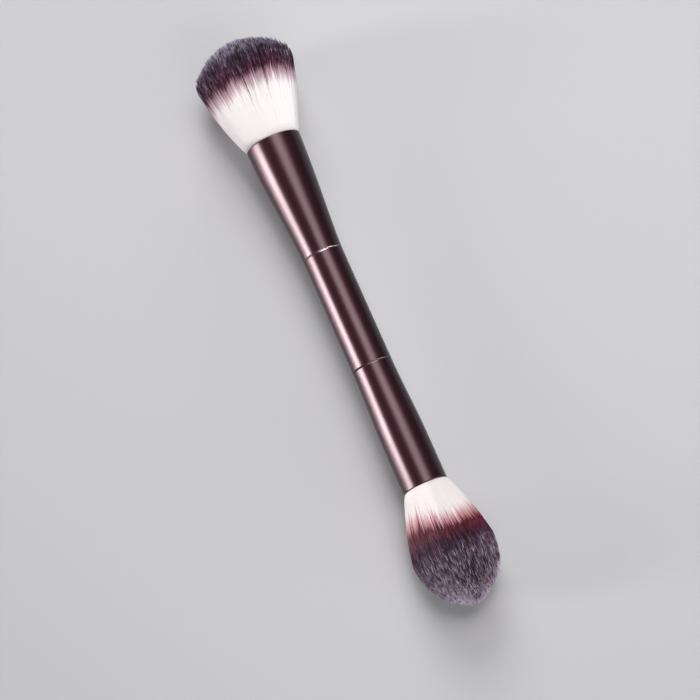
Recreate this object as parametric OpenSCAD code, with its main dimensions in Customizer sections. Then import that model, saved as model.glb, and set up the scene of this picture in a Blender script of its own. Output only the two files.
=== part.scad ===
// Double ended makeup brush, lying on its two heads.
// +X runs along the brush to the powder head, +Z is up, and the brush lies on z = 0.

/* [Powder head] */
// Widest diameter of the powder head
powder_d = 28.6; // [22:0.1:40]
// Length of the powder head outside its ferrule
powder_len = 32.2; // [24:0.1:50]
// Distance from the ferrule's mouth to the widest place
powder_belly = 22.6; // [12:0.1:23.5]
// How far the dome is fuller on one side than on the other
powder_lean = 1.4; // [0:0.1:2]

/* [Tapered head] */
// Widest diameter of the tapered head
tapered_d = 23.7; // [16:0.1:30]
// Length of the tapered head outside its ferrule
tapered_len = 35.4; // [24:0.1:50]
// Distance from the ferrule's mouth to the widest place
tapered_belly = 19.7; // [10:0.1:23.5]

/* [Bristles] */
// Depth of the grooves between the locks of bristles
lock_depth = 0.35; // [0:0.05:0.6]
// How much of each head is pressed flat where the brush lies on it
press = 1; // [0.5:0.1:2]
// Length of each tuft inside its ferrule
root_len = 14; // [10:0.5:18]
// Length of the tied stretch at the end of the root, which the resin covers
tied_len = 6; // [4:0.5:8]
// Room between the tied stretch and the ferrule, for the binding and the resin
tie_room = 1.2; // [1.1:0.1:2]

/* [Handle] */
// Outside diameter of the handle at the sleeve and at both seams
waist_d = 11.9; // [10:0.1:13]
// Length of the centre sleeve
sleeve_len = 35.5; // [20:0.5:60]
// Outside diameter of the powder ferrule at its mouth
powder_mouth_d = 16.4; // [14:0.1:20]
// Length of the powder ferrule
powder_ferrule_len = 36.4; // [30:0.1:60]
// Outside diameter of the tapered ferrule at its mouth
tapered_mouth_d = 13.2; // [12:0.1:16]
// Length of the tapered ferrule
tapered_ferrule_len = 37.7; // [32:0.1:60]
// Length over which the tapered ferrule widens from its seam
tapered_flare_len = 24; // [10:0.5:30]
// Wall of the metal tubes
wall = 0.6; // [0.4:0.05:0.9]
// Gap between the tubes at each seam
seam_gap = 0.1; // [0.05:0.05:0.3]
// Bevel on the tubes' outside edges
bevel = 0.3; // [0.1:0.05:0.35]

/* [Inside] */
// Length of the core dowel inside each ferrule
core_reach = 12; // [6:0.5:14]
// Bevel at the core dowel's ends
core_bevel = 0.8; // [0.2:0.1:1.5]
// Clearance between pieces that are glued or tied together
fit = 0.05; // [0.03:0.01:0.1]
// Diameter of the binding thread
thread_d = 0.6; // [0.4:0.05:0.7]
// Turns of the binding thread
thread_turns = 5; // [3:1:6]
// Thickness of the resin behind each tuft's root
resin_floor = 3; // [1:0.5:4]

/* [Hidden] */

// How the side of each head swells, and how round its dome is along and across
powder_swell = 1.38;
powder_dome = [1.75, 1.62];
tapered_swell = 1.4;
tapered_dome = [1.86, 1.69];

// The powder ferrule is part cone and part S curve, and widens early
cone_share = 0.4;
early = 0.9;

// Fineness of the tufts and of the turned outlines
tuft_sides = 64;
side_rings = 10;
dome_rings = 10;
outline_steps = 24;
turn_sides = 96;
thread_sides = 24;

// The locks round a tuft: how many in the coarse and the fine set, and how far they wind
coarse_locks = 9;
fine_locks = 15;
lock_wind = 40;

// Radii that several pieces share
waist_r = waist_d / 2;
powder_mouth_r = powder_mouth_d / 2;
tapered_mouth_r = tapered_mouth_d / 2;
core_r = waist_r - wall - fit;

// Places along the axis, counted from the middle of the sleeve
powder_seam = sleeve_len / 2 + seam_gap;
powder_mouth = powder_seam + powder_ferrule_len;
powder_tip = powder_mouth + powder_len;
tapered_seam = -powder_seam;
tapered_mouth = tapered_seam - tapered_ferrule_len;
tapered_tip = tapered_mouth - tapered_len;

// The brush lies on the bellies of its heads, so its axis rises a little to the fatter one
powder_height = powder_d / 2 - press;
tapered_height = tapered_d / 2 - press;
belly_span = powder_mouth + powder_belly - tapered_mouth + tapered_belly;
lie = asin((powder_height - tapered_height) / belly_span);
axis_height = tapered_height - (tapered_mouth - tapered_belly) * sin(lie);
axis_shift = -(powder_tip + tapered_tip) / 2 * cos(lie);

// A smooth step from 0 to 1
function ease(t) = t * t * (3 - 2 * t);

// Outside radius of each ferrule at a distance from its seam
powder_tube = function(distance)
    let (t = pow(distance / powder_ferrule_len, early))
    waist_r + (powder_mouth_r - waist_r) * (cone_share * t + (1 - cone_share) * ease(t));

tapered_tube = function(distance)
    waist_r + (tapered_mouth_r - waist_r) * ease(min(1, distance / tapered_flare_len));

// Radius of what fills a tube at a distance from its seam
function filling(tube, distance) = tube(distance) - wall - fit;

// Radius of a tuft where it is tied, at the end of its root
function tied_r(tube, tube_len) = filling(tube, tube_len - root_len) - tie_room;

// The rings of a tuft as [distance from the mouth, radius]: root, side and dome
function root_rings(tube, tube_len) =
    let (
        tied = tied_r(tube, tube_len),
        halfway = (tied_len - root_len) / 2
    )
    [
        [-root_len, tied],
        [-root_len + tied_len, tied],
        [halfway, filling(tube, tube_len + halfway)],
        [0, filling(tube, tube_len)]
    ];

function side(neck, r, belly, swell) = [
    for (i = [1 : side_rings])
        let (t = i / side_rings)
        [belly * t, neck + (r - neck) * (1 - pow(1 - t, swell))]
];

function dome(r, belly, head_len, roundness) = [
    for (i = [1 : dome_rings])
        let (a = 90 * i / (dome_rings + 0.6))
        [
            belly + (head_len - belly) * pow(sin(a), 2 / roundness[0]),
            r * pow(cos(a), 2 / roundness[1])
        ]
];

function tuft_rings(tube, tube_len, r, belly, head_len, swell, roundness) = concat(
    root_rings(tube, tube_len),
    side(filling(tube, tube_len), r, belly, swell),
    dome(r, belly, head_len, roundness)
);

// Locks of bristles: shallow grooves that wind a little, from -1 to 1
function lock(a, t, seed) =
    (sin(coarse_locks * a + lock_wind * t + seed)
        + 0.7 * sin(fine_locks * a - lock_wind * t + 2 * seed)) / 1.7;

// The grooves deepen from the mouth outwards and close again at the tip
function ring_points(ring, head_len, r, lean, seed) =
    let (
        t = max(0, ring[0] / head_len),
        depth = lock_depth * t * ring[1] / r,
        sideways = -lean * t * t * (1 - pow(t, 10))
    )
    [
        for (i = [0 : tuft_sides - 1])
            let (
                a = 360 * i / tuft_sides,
                q = ring[1] + depth * lock(a, t, seed)
            )
            [ring[0], sideways + q * cos(a), q * sin(a)]
    ];

// One tuft as a closed skin over its rings, with its mouth at x = 0 and its tip along +X
module tuft(rings, head_len, r, lean, seed) {
    root_centre = len(rings) * tuft_sides;
    tip = root_centre + 1;
    last_ring = root_centre - tuft_sides;
    points = [
        for (ring = rings) each ring_points(ring, head_len, r, lean, seed),
        [-root_len, 0, 0],
        [head_len, 0, 0]
    ];
    faces = [
        for (i = [0 : tuft_sides - 1])
            let (j = (i + 1) % tuft_sides)
            each [
                [root_centre, i, j],
                for (a = [0 : tuft_sides : last_ring - 1])
                    each [
                        [a + i, a + tuft_sides + j, a + j],
                        [a + i, a + tuft_sides + i, a + tuft_sides + j]
                    ],
                [tip, last_ring + j, last_ring + i]
            ]
    ];
    polyhedron(points = points, faces = faces);
}

// Puts what is built along the axis where the brush lies
module lie_down() {
    translate([axis_shift, 0, axis_height])
        rotate([0, -lie, 0])
            children();
}

// Takes away what the surface presses flat
module pressed_flat() {
    size = 2 * (powder_tip - tapered_tip);
    difference() {
        children();
        translate([-size / 2, -size / 2, -size])
            cube(size);
    }
}

// Turns an outline of [radius, distance along the axis] about the brush's axis
module turned(outline) {
    rotate([0, 90, 0])
        rotate_extrude($fn = turn_sides)
            polygon(outline);
}

// A metal tube with bevelled edges, from its seam at x = 0
module ferrule(tube, tube_len) {
    outside = [
        for (i = [0 : outline_steps])
            let (d = bevel + (tube_len - 2 * bevel) * i / outline_steps)
            [tube(d), d]
    ];
    inside = [
        for (i = [outline_steps : -1 : 0])
            let (d = tube_len * i / outline_steps)
            [tube(d) - wall, d]
    ];
    turned(concat(
        [[tube(0) - bevel, 0]],
        outside,
        [[tube(tube_len) - bevel, tube_len]],
        inside
    ));
}

// Thread wound round the middle of a tuft's tied stretch
module binding(tube, tube_len) {
    pitch = 0.9 * thread_d;
    middle = tube_len - root_len + tied_len / 2;
    rotate([0, 90, 0])
        rotate_extrude($fn = turn_sides)
            for (i = [0 : thread_turns - 1])
                translate([
                    tied_r(tube, tube_len) + fit + thread_d / 2,
                    middle + (i - (thread_turns - 1) / 2) * pitch
                ])
                    circle(d = thread_d, $fn = thread_sides);
}

// Resin that fills the tube round the tied root, with a groove round the binding
module resin(tube, tube_len) {
    root = tube_len - root_len;
    front = root + tied_len;
    back = root - resin_floor;
    middle = root + tied_len / 2;
    half_groove = (0.9 * (thread_turns - 1) + 1) * thread_d / 2 + fit;
    r = tied_r(tube, tube_len) + fit;
    groove_r = r + thread_d + fit;
    outside = [
        for (i = [0 : outline_steps])
            let (d = back + (front - back) * i / outline_steps)
            [filling(tube, d), d]
    ];
    turned(concat(
        [[0, back]],
        outside,
        [
            [r, front],
            [r, middle + half_groove],
            [groove_r, middle + half_groove],
            [groove_r, middle - half_groove],
            [r, middle - half_groove],
            [r, root - fit],
            [0, root - fit]
        ]
    ));
}

module powder_bristles() {
    r = powder_d / 2;
    rings = tuft_rings(
        powder_tube, powder_ferrule_len, r, powder_belly, powder_len, powder_swell, powder_dome
    );
    color([0.62, 0.5, 0.55])
        pressed_flat()
            lie_down()
                translate([powder_mouth, 0, 0])
                    tuft(rings, powder_len, r, powder_lean, 0);
}

module powder_binding() {
    color([0.88, 0.86, 0.82])
        lie_down()
            translate([powder_seam, 0, 0])
                binding(powder_tube, powder_ferrule_len);
}

module powder_glue() {
    color([0.72, 0.6, 0.36])
        lie_down()
            translate([powder_seam, 0, 0])
                resin(powder_tube, powder_ferrule_len);
}

module powder_ferrule() {
    color([0.2, 0.14, 0.16])
        lie_down()
            translate([powder_seam, 0, 0])
                ferrule(powder_tube, powder_ferrule_len);
}

module centre_sleeve() {
    half = sleeve_len / 2;
    color([0.18, 0.13, 0.15])
        lie_down()
            turned([
                [waist_r - wall, -half],
                [waist_r - bevel, -half],
                [waist_r, bevel - half],
                [waist_r, half - bevel],
                [waist_r - bevel, half],
                [waist_r - wall, half]
            ]);
}

module core_dowel() {
    half = powder_seam + core_reach;
    color([0.76, 0.6, 0.4])
        lie_down()
            turned([
                [0, -half],
                [core_r - core_bevel, -half],
                [core_r, core_bevel - half],
                [core_r, half - core_bevel],
                [core_r - core_bevel, half],
                [0, half]
            ]);
}

module tapered_ferrule() {
    color([0.2, 0.14, 0.16])
        lie_down()
            translate([tapered_seam, 0, 0])
                mirror([1, 0, 0])
                    ferrule(tapered_tube, tapered_ferrule_len);
}

module tapered_glue() {
    color([0.72, 0.6, 0.36])
        lie_down()
            translate([tapered_seam, 0, 0])
                mirror([1, 0, 0])
                    resin(tapered_tube, tapered_ferrule_len);
}

module tapered_binding() {
    color([0.88, 0.86, 0.82])
        lie_down()
            translate([tapered_seam, 0, 0])
                mirror([1, 0, 0])
                    binding(tapered_tube, tapered_ferrule_len);
}

module tapered_bristles() {
    r = tapered_d / 2;
    rings = tuft_rings(
        tapered_tube, tapered_ferrule_len, r, tapered_belly, tapered_len, tapered_swell, tapered_dome
    );
    color([0.58, 0.48, 0.54])
        pressed_flat()
            lie_down()
                translate([tapered_mouth, 0, 0])
                    mirror([1, 0, 0])
                        tuft(rings, tapered_len, r, 0, 120);
}

powder_bristles();
powder_binding();
powder_glue();
powder_ferrule();
centre_sleeve();
core_dowel();
tapered_ferrule();
tapered_glue();
tapered_binding();
tapered_bristles();
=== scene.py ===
import math

import bpy
import numpy as np
from bpy.props import FloatProperty, FloatVectorProperty, IntProperty, PointerProperty
from mathutils import Matrix, Vector


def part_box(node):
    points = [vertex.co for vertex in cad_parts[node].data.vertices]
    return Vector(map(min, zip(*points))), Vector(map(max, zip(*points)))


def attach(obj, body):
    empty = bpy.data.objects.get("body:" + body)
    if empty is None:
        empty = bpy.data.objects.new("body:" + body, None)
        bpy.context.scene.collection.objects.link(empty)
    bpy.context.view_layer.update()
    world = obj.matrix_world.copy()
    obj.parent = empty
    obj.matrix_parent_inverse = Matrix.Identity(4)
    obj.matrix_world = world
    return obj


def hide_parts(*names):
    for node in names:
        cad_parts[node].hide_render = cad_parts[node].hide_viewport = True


bl_info = {
    "name": "Double ended makeup brush",
    "version": (1, 0, 0),
    "blender": (4, 5, 0),
    "location": "3D view, sidebar, Brush tab",
    "description": "Dresses the brush: anodised handle, dip dyed bristles and a plain studio",
    "category": "Object",
}

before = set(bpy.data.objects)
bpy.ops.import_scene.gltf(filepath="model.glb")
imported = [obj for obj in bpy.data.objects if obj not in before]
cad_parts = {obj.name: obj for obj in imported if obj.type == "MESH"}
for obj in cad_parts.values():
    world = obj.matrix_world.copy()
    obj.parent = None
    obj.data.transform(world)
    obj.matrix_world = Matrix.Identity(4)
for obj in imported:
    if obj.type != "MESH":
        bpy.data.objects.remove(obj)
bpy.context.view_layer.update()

MM = 0.001
UV_NAME = "OFBake"

# The bristles' map has a column for each step of where a fibre ends, and for each of its shades
TIP_STEPS = 40
SHADES = 12
COLUMNS = TIP_STEPS * SHADES

# Room left on that map for dye that reaches past either end of a fibre
DYE_MARGIN = 2 * MM


# Where the brush lies, read from the frame

def middle(node):
    low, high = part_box(node)
    return np.array((low + high) / 2)


def unit(v):
    return v / np.linalg.norm(v, axis=-1, keepdims=True)


# The bindings are wound round the axis, so it runs through their middles
AXIS = unit(middle("powder_binding") - middle("tapered_binding"))
CENTRE = middle("centre_sleeve")
ACROSS = np.array([0.0, 1.0, 0.0])
ABOVE = np.cross(AXIS, ACROSS)


def points_of(node):
    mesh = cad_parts[node].data
    co = np.empty(len(mesh.vertices) * 3)
    mesh.vertices.foreach_get("co", co)
    return co.reshape(-1, 3) - CENTRE


def reach(node):
    """How far a node lies along the axis: its lowest and highest distance from the middle."""
    s = points_of(node) @ AXIS
    return s.min(), s.max()


def radii_of(node):
    """The distance of each of a node's points from the axis."""
    p = points_of(node)
    return np.linalg.norm(p - (p @ AXIS)[:, None] * AXIS, axis=1)


SLEEVE = reach("centre_sleeve")
POWDER_TUBE = reach("powder_ferrule")
TAPERED_TUBE = reach("tapered_ferrule")
WAIST_R = radii_of("centre_sleeve").max()
WALL = WAIST_R - radii_of("centre_sleeve").min()
POWDER_MOUTH_R = radii_of("powder_ferrule").max()
TAPERED_MOUTH_R = radii_of("tapered_ferrule").max()


def place(s, across, above):
    """World places from distances along the axis, across it and above it."""
    s, across, above = np.broadcast_arrays(s, across, above)
    return (
        CENTRE
        + s[..., None] * AXIS
        + across[..., None] * ACROSS
        + above[..., None] * ABOVE
    )


# Settings that a user would change

def length(name, description, default):
    return FloatProperty(name=name, description=description, default=default, unit="LENGTH")


def amount(name, description, default):
    return FloatProperty(name=name, description=description, default=default)


def count(name, description, default):
    return IntProperty(name=name, description=description, default=default, min=0)


def colour(name, description, default):
    return FloatVectorProperty(
        name=name, description=description, default=default, subtype="COLOR", size=3, min=0, max=1
    )


class HandleSettings(bpy.types.PropertyGroup):
    metal: colour("Metal", "Colour that the anodised metal gives its reflections", (0.052, 0.0104, 0.0205))
    edge: colour("Metal at its edge", "The same where the metal is seen at a slant", (0.09, 0.035, 0.055))
    bare: colour("Bare metal", "Colour of the bright bevels at the joints", (0.62, 0.5, 0.52))
    powder_cut: amount("Powder joint", "How bright the bevels are cut at the joint near the powder head", 1)
    tapered_cut: amount(
        "Tapered joint", "How bright the bevels are cut at the joint near the tapered head", 0.22
    )
    satin: amount("Metal roughness", "How far the metal under the seal spreads a reflection", 0.44)
    gloss: amount("Seal roughness", "How far the clear sealed surface spreads a reflection", 0.255)
    bevel: length("Edge bevel", "Width of the bevel on each tube's edge", 0.2 * MM)
    flare: length("Flare", "Length over which the tapered ferrule widens", 24 * MM)
    cone_share: amount("Cone share", "How much of the powder ferrule's widening is a plain cone", 0.4)
    early: amount("Early", "Below 1 the powder ferrule widens sooner", 0.9)
    wood: colour("Dowel", "Colour of the dowel's wood", (0.56, 0.38, 0.2))
    resin: colour("Resin", "Colour of the set resin", (0.55, 0.36, 0.12))
    thread: colour("Thread", "Colour of the binding thread", (0.78, 0.74, 0.68))


# The settings of the heads: what each one is, and its value for the powder head and for the tapered head
HEAD_SETTINGS = {
    "belly": (length, "Belly", "Distance from the mouth to the widest place", 22.6 * MM, 19.7 * MM),
    "swell": (amount, "Swell", "How soon the side swells out", 1.38, 1.4),
    "dome_long": (amount, "Dome along", "How full the dome is along the brush", 1.75, 1.86),
    "dome_round": (amount, "Dome round", "How full the dome is across the brush", 1.62, 1.69),
    "lean": (length, "Lean", "How far the dome is fuller on one side", 1.4 * MM, 0),
    "closing": (amount, "Closing", "How far fibres bend in beyond the belly", 0.1, 0.3),
    "clump": (length, "Clump", "Distance between clumps of fibres", 0.4 * MM, 0.4 * MM),
    "pull": (amount, "Pull", "How far the ends of a clump are drawn together", 0.6, 0.45),
    "uneven": (length, "Uneven", "How far the ends of clumps differ", 0.24 * MM, 0.18 * MM),
    "side_fibres": (count, "Side fibres", "Fibres that show from the mouth to the belly", 5200, 4400),
    "dome_fibres": (count, "Dome fibres", "Fibres that show at the dome", 12000, 12000),
    "locks": (amount, "Locks", "How far whole locks differ in shade", 0.7, 0.1),
    # Painted side light: paler fibres at the sides and darker ones on top
    "sides": (amount, "Sides", "How much paler the fibres are at the sides than on top", 0, 0.6),
    "streak": (amount, "Streaks", "How pale the streaks in the dark bands are", 0.58, 0.05),
    "fuzz": (amount, "Fuzz", "Share of the fibres that are pale, and stand proud at the dome", 0.14, 0.07),
    "strays": (count, "Strays", "Fibres that stick out", 26, 14),
    "blush_at": (length, "Blush at", "Distance from the mouth at which the dye begins", 14.7 * MM, 8.5 * MM),
    "wine_at": (length, "Wine at", "Distance at which the dye has turned wine red", 17.0 * MM, 10.8 * MM),
    "plum_at": (length, "Plum at", "Distance at which the dye has turned plum", 21 * MM, 15.6 * MM),
    "lilac_at": (length, "Lilac at", "Distance at which the dye has turned lilac", 26.5 * MM, 21 * MM),
    "wave": (length, "Wave", "How uneven the edge of the dye is", 0.95 * MM, 1.2 * MM),
    "bow": (length, "Bow", "How much longer the undyed stretch is on top", 0.4 * MM, 3.8 * MM),
    "tip_length": (length, "Tip length", "How much of each fibre's end is pale", 2.6 * MM, 3.2 * MM),
    "tip_strength": (amount, "Tip strength", "How pale the ends of the fibres are", 0.2, 0.75),
    # Beyond the rim the ends are painted palest, as rim light on the dome's edge
    "rim_at": (length, "Rim at", "Distance beyond which the ends are palest", 31.2 * MM, 30.8 * MM),
    "frost": (length, "Frost", "Length of the palest ends", 3.5 * MM, 3.5 * MM),
    "root": (colour, "Root", "Colour of the undyed stretch", (0.925, 0.885, 0.87), (0.775, 0.72, 0.705)),
    "blush": (colour, "Blush", "Colour where the dye begins", (0.5, 0.33, 0.38), (0.52, 0.27, 0.29)),
    "wine": (colour, "Wine", "Colour of the first band of dye", (0.1, 0.014, 0.042), (0.128, 0.0105, 0.026)),
    "plum": (colour, "Plum", "Colour of the second band of dye", (0.07, 0.019, 0.053), (0.065, 0.02, 0.045)),
    "lilac": (colour, "Lilac", "Colour towards the ends", (0.074, 0.049, 0.082), (0.112, 0.046, 0.093)),
    "tip": (colour, "Tip", "Colour of the fibres' tips", (0.5, 0.46, 0.6), (0.67, 0.55, 0.68)),
}


def head_properties(column):
    """The properties of one head, with the defaults from its column of values."""
    return {
        key: kind(name, description, defaults[column])
        for key, (kind, name, description, *defaults) in HEAD_SETTINGS.items()
    }


class PowderHead(bpy.types.PropertyGroup):
    __annotations__ = head_properties(0)


class TaperedHead(bpy.types.PropertyGroup):
    __annotations__ = head_properties(1)


class StudioSettings(bpy.types.PropertyGroup):
    azimuth: FloatProperty(
        name="Azimuth", description="Where the camera stands round the brush",
        default=math.radians(246.73), subtype="ANGLE",
    )
    elevation: FloatProperty(
        name="Elevation", description="How high the camera looks down from",
        default=math.radians(75), subtype="ANGLE",
    )
    distance: length("Distance", "From the camera to what it looks at", 0.9)
    lens: amount("Lens", "Focal length in millimetres, on a sensor 36 mm wide", 161.0)
    aim_x: length("Aim X", "Where the camera looks, along the brush", -5.73 * MM)
    aim_y: length("Aim Y", "Where the camera looks, across the brush", 2.65 * MM)
    floor: colour("Floor", "Colour of the floor", (0.42, 0.42, 0.43))
    sky: amount("Sky", "Brightness of the even light from all round", 0.11)
    key: amount("Key", "Brightness of the soft light above", 4.05)
    powder_end: amount("Powder end", "Brightness of the broad light past the powder head", 10.2)
    tapered_end: amount("Tapered end", "Brightness of the broad light past the tapered head", 1.5)
    fill: amount("Fill", "Brightness of the low light that fills the side away from the strip", 3.2)
    strip: amount("Strip", "Brightness of the long soft light beside the brush", 30)
    low: amount("Low", "Brightness of the flat light low past the tapered head", 13)


# Meshes

def new_object(name, mesh, material, node):
    """Link a finished piece, which rides on the brush and stands for a node of the frame."""
    piece = bpy.data.objects.new(name, mesh)
    bpy.context.scene.collection.objects.link(piece)
    mesh.materials.append(material)
    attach(piece, "root")
    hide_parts(node)


def new_mesh(name, points, faces, uvs):
    """A smooth mesh from arrays.

    faces is a list of arrays with a row of points for each face, and uvs has the map's corners of each.
    """
    mesh = bpy.data.meshes.new(name)
    mesh.vertices.add(len(points))
    mesh.vertices.foreach_set("co", points.astype(np.float32).ravel())
    corners = np.concatenate([f.ravel() for f in faces])
    sizes = np.concatenate([np.full(len(f), f.shape[1]) for f in faces])
    mesh.loops.add(len(corners))
    mesh.loops.foreach_set("vertex_index", corners.astype(np.int32))
    mesh.polygons.add(len(sizes))
    starts = np.concatenate([[0], np.cumsum(sizes)[:-1]])
    mesh.polygons.foreach_set("loop_start", starts.astype(np.int32))
    mesh.polygons.foreach_set("use_smooth", np.ones(len(sizes), bool))
    layer = mesh.uv_layers.new(name=UV_NAME)
    uv = np.concatenate([u.reshape(-1, 2) for u in uvs])
    layer.data.foreach_set("uv", uv.astype(np.float32).ravel())
    mesh.update(calc_edges=True)
    mesh.validate()
    return mesh


def grid_faces(rows, columns, closed_rows):
    """Quads over a grid of points whose columns run round it, with the map's corners of each."""
    i, j = np.meshgrid(np.arange(rows if closed_rows else rows - 1), np.arange(columns), indexing="ij")
    i, j = i.ravel(), j.ravel()
    up, over = (i + 1) % rows, (j + 1) % columns
    quads = np.stack([i * columns + j, i * columns + over, up * columns + over, up * columns + j], 1)
    u = np.stack([j, j + 1, j + 1, j], 1) / columns
    v = np.stack([i, i, i + 1, i + 1], 1) / rows
    return quads, np.stack([u, v], -1)


# Points round a turned piece, round one bevel, and along a tube's outside and inside
AROUND = 168
BEVEL_STEPS = 3
TUBE_STEPS = 56
INNER_STEPS = 12
TUBE_ROWS = 2 * BEVEL_STEPS + TUBE_STEPS + INNER_STEPS

# The outside's own points start this many bevels from each edge
BEVEL_ROOM = 1.6


def turned(name, outline, material, node):
    """A piece turned about the axis from a closed outline of (distance along it, radius)."""
    s, r = np.array(outline).T
    a = np.linspace(0, 2 * math.pi, AROUND, endpoint=False)
    points = place(s[:, None], r[:, None] * np.cos(a), r[:, None] * np.sin(a)).reshape(-1, 3)
    quads, uv = grid_faces(len(s), AROUND, True)
    mesh = new_mesh(name, points, [quads], [uv])
    runs_back = s[BEVEL_STEPS] > s[BEVEL_STEPS + 1]
    if runs_back:
        mesh.flip_normals()
    new_object(name, mesh, material, node)


def ease(t):
    return t * t * (3 - 2 * t)


def rounded(corner, before, after, bevel):
    """Points that round a corner of an outline between the points before and after it."""
    corner, before, after = (np.array(p, float) for p in (corner, before, after))
    start = corner + unit(before - corner) * bevel
    end = corner + unit(after - corner) * bevel
    t = np.linspace(0, 1, BEVEL_STEPS)[:, None]
    return [tuple(p) for p in (1 - t) ** 2 * start + 2 * t * (1 - t) * corner + t * t * end]


def tube_outline(radius_at, start, end, bevel):
    """The closed outline of a thin tube, from the outside radius at each distance from its start."""
    size = abs(end - start)
    way = math.copysign(1, end - start)
    room = BEVEL_ROOM * bevel
    outside = [(d, radius_at(d)) for d in np.linspace(room, size - room, TUBE_STEPS)]
    inside = [(d, radius_at(d) - WALL) for d in np.linspace(size, 0, INNER_STEPS)]
    points = (
        rounded((0, radius_at(0)), inside[-1], outside[0], bevel)
        + outside
        + rounded((size, radius_at(size)), outside[-1], inside[0], bevel)
        + inside
    )
    return [(start + way * d, r) for d, r in points]


# The shape of a head

# Shallow grooves between locks, as on the frame's solids: their depth, how many coarse and fine ones
# run round a head, the fine ones' share, and how far they wind from the mouth to the tip
RELIEF = 0.35 * MM
COARSE_LOCKS = 9
FINE_LOCKS = 15
FINE_SHARE = 0.7
WIND = math.radians(40)

# Clearance between a tuft and its ferrule
FIT = 0.05 * MM

# How gently fibres bend in beyond the belly
BEND = 1.6

# How far fibres step out to come level with the ferrule's rim, and over about what length
RIM_STEP = 0.5 * MM
RIM_EASE = 0.3 * MM

# How far the soft ends of the fibres stand proud of the frame's solid
FUZZ = 0.2 * MM

# Fibres that would reach the floor lie this far above it. They keep this share of their depth, down
# to this depth, so that they don't all lie in one plane
FLOOR_GAP = 0.1 * MM
PRESSED_SHARE = 0.1
PRESSED_DEPTH = 2 * MM


class Head:
    """The form of one head, in distances from its mouth: a swelling side and a dome."""

    def __init__(self, settings, node, mouth, tip, mouth_r, seed):
        self.set = settings
        self.node = node
        self.mouth = mouth
        self.way = math.copysign(1, tip - mouth)
        self.length = abs(tip - mouth)
        low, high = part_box(node)
        # The solid's widest point lies on a ridge, about a third of a groove's depth proud
        self.r = (high.y - low.y) / 2 - RELIEF / 3
        self.neck = mouth_r - WALL - FIT
        self.seed = seed
        self.s = np.linspace(0, self.length, 600)
        self.ratio = self.outline(self.s) / self.flow(self.s)

    def beyond_belly(self, s):
        """From 0 at the belly to 1 at the tip."""
        return np.clip((s - self.set.belly) / (self.length - self.set.belly), 0, 1)

    def outline(self, s):
        """Radius of the head at a distance from its mouth."""
        p = self.set
        t = np.clip(s / p.belly, 0, 1)
        side = self.neck + (self.r - self.neck) * (1 - (1 - t) ** p.swell)
        dome = self.r * np.maximum(1 - self.beyond_belly(s) ** p.dome_long, 0) ** (1 / p.dome_round)
        return np.where(s < p.belly, side, dome)

    def flow(self, s):
        """Distance from the axis of a fibre that starts at the mouth's edge, if it were long enough."""
        bent = self.r * (1 - self.set.closing * self.beyond_belly(s) ** BEND)
        return np.where(s < self.set.belly, self.outline(s), bent)

    def tip_of(self, m):
        """Where a fibre ends that starts at the share m of the mouth's radius."""
        beyond = self.s >= self.set.belly
        return np.interp(m, self.ratio[beyond][::-1], self.s[beyond][::-1]) * (1 + FUZZ / self.length)

    def lock(self, a, t):
        """The relief of the locks, from -1 in the grooves to 1 on the ridges."""
        wind = WIND * t
        seed = math.radians(self.seed)
        coarse = np.sin(COARSE_LOCKS * a + wind + seed)
        fine = np.sin(FINE_LOCKS * a - wind + 2 * seed)
        return (coarse + FINE_SHARE * fine) / (1 + FINE_SHARE)

    def clear_of_rim(self, s):
        """How far fibres spread as soon as they leave the tube, to come level with its rim."""
        return RIM_STEP * np.clip(1 - np.exp(-s / RIM_EASE), 0, 1) * np.clip(1 - s / self.set.belly, 0, 1)

    def put(self, s, a, r, gap=FLOOR_GAP):
        """World places at a distance from the mouth, an angle and a radius, pressed flat at the floor."""
        t = np.clip(s / self.length, 0, 1)
        # The lean grows towards the dome, and is gone again at the tip
        aside = -self.set.lean * t**2 * (1 - t**10)
        p = place(self.mouth + self.way * s, aside + r * np.cos(a), r * np.sin(a))
        depth = gap - p[..., 2]
        pressed = gap + PRESSED_SHARE * np.clip(depth, 0, PRESSED_DEPTH)
        p[..., 2] = np.where(depth > 0, pressed, p[..., 2])
        return p

    def level(self, s):
        """Where a distance from the mouth lies on the bristles' map, from 0 to 1."""
        return np.clip((s + DYE_MARGIN) / self.map_length, 0, 1)

    @property
    def map_length(self):
        """The length that the bristles' map stands for."""
        return self.length + 2 * DYE_MARGIN


# Seeds of the random numbers, to which each head adds its own
SEEDS = {"dye": 70, "clumps": 5, "locks": 6, "core": 11, "side": 23, "dome": 37, "strays": 53}


def random_for(head, use):
    return np.random.default_rng(SEEDS[use] + head.seed)


def ring_noise(random, knots):
    """A smooth function of the angle with random heights from -1 to 1 at evenly set knots."""
    heights = random.uniform(-1, 1, knots)

    def value(a):
        x = (a / (2 * math.pi)) % 1 * knots
        i = np.floor(x).astype(int)
        f = ease(x - i)
        return heights[i % knots] * (1 - f) + heights[(i + 1) % knots] * f

    return value


# The dye's edge has broad waves and fine ones: how many knots run round, and how high they reach
BROAD_KNOTS = 34
FINE_KNOTS = 130
BROAD_WAVE = 0.4
FINE_WAVE = 0.45

# The undyed stretch is longest this far past the top, on the side away from the strip light
BOW_TURN = math.radians(25)


class Dye:
    """How far the edge of the dye strays from its level round a head. Below 0 it lies nearer the tip."""

    def __init__(self, head):
        random = random_for(head, "dye")
        self.broad = ring_noise(random, BROAD_KNOTS)
        self.fine = ring_noise(random, FINE_KNOTS)
        self.wave = head.set.wave
        self.bow = head.set.bow

    def edge(self, a):
        top = np.clip(np.sin(a - BOW_TURN), 0, 1) ** 2
        return self.wave * (BROAD_WAVE * self.broad(a) + FINE_WAVE * self.fine(a)) - self.bow * top


# Rows of random numbers that the cells of clumps share, and odd steps through them from cell to cell
CELLS = 4096
STEP_X = 73
STEP_Y = 1031

# The middle of a clump keeps this share of its cell's width from the cell's edge
CELL_EDGE = 0.2


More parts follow.
